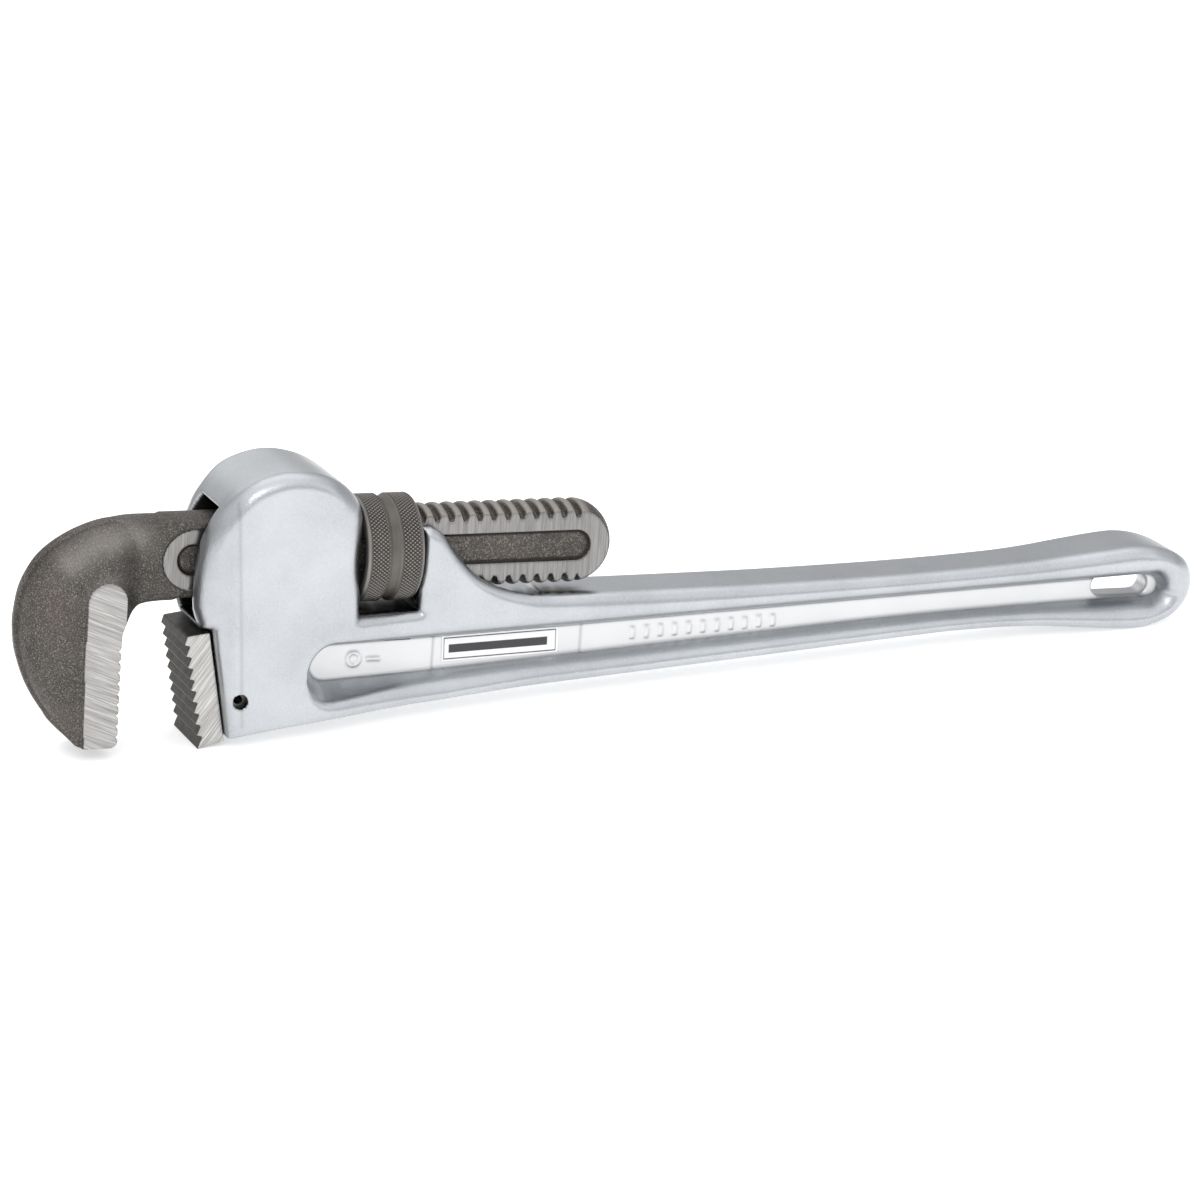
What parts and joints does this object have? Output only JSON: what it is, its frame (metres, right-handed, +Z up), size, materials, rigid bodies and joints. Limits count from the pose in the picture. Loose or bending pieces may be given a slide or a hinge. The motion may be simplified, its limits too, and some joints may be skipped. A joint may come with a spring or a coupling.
{
  "type": "pipe wrench",
  "caption": "Straight pipe wrench with a cast I-beam handle, a toothed hook jaw on a threaded shank, a knurled adjusting nut, springs and a pinned heel jaw.",
  "frame": {"origin": "middle of the bounding box, at the level of the heel jaw's lower corner and the handle end, which the tool stands on", "axes": "+X from the jaws toward the handle end, +Y across the tool's thickness, +Z up; the hook jaw's shank runs 4.18 degrees nose up along X"},
  "size_m": [0.4118, 0.0376, 0.0881],
  "materials": {
    "casting": "bright cast and blasted, slightly satin",
    "forged_steel": "blasted dark brown-grey forging with ground flats",
    "ground_steel": "ground sides, dark toothed face",
    "phosphate_steel": "dark phosphate with knurled bands",
    "spring_steel": "dark spring steel",
    "label_film": "blank white printed film"
  },
  "bodies": {
    "handle": {"handle": "casting", "heel_jaw": "ground_steel", "heel_jaw_pin": "spring_steel", "label": "label_film"},
    "jaw_carrier": {"flat_spring": "spring_steel", "coil_spring": "spring_steel"},
    "nut": {"adjusting_nut": "phosphate_steel"},
    "hook": {"hook_jaw": "forged_steel"}
  },
  "joints": [
    {"name": "jaw_rock", "type": "hinge", "parent": "handle", "child": "jaw_carrier", "pos_m": [-0.08523, 0, 0.05577], "axis": [0, -1, 0], "range_deg": [-0.8, 2], "stiffness_Nm_per_rad": 30, "springref_deg": -0.73, "deforming": ["flat_spring", "coil_spring"]},
    {"name": "nut_spin", "type": "hinge", "parent": "jaw_carrier", "child": "nut", "pos_m": [-0.08523, 0, 0.05577], "axis": [0.9973, 0, -0.0729], "range_deg": [-1302, 3162]},
    {"name": "jaw_slide", "type": "slide", "parent": "jaw_carrier", "child": "hook", "axis": [0.9973, 0, -0.0729], "range_m": [-0.0425, 0.0175]}
  ],
  "couplings": [
    {"joint": "nut_spin", "follows": "jaw_slide", "rad_per_m": -1298.2}
  ]
}
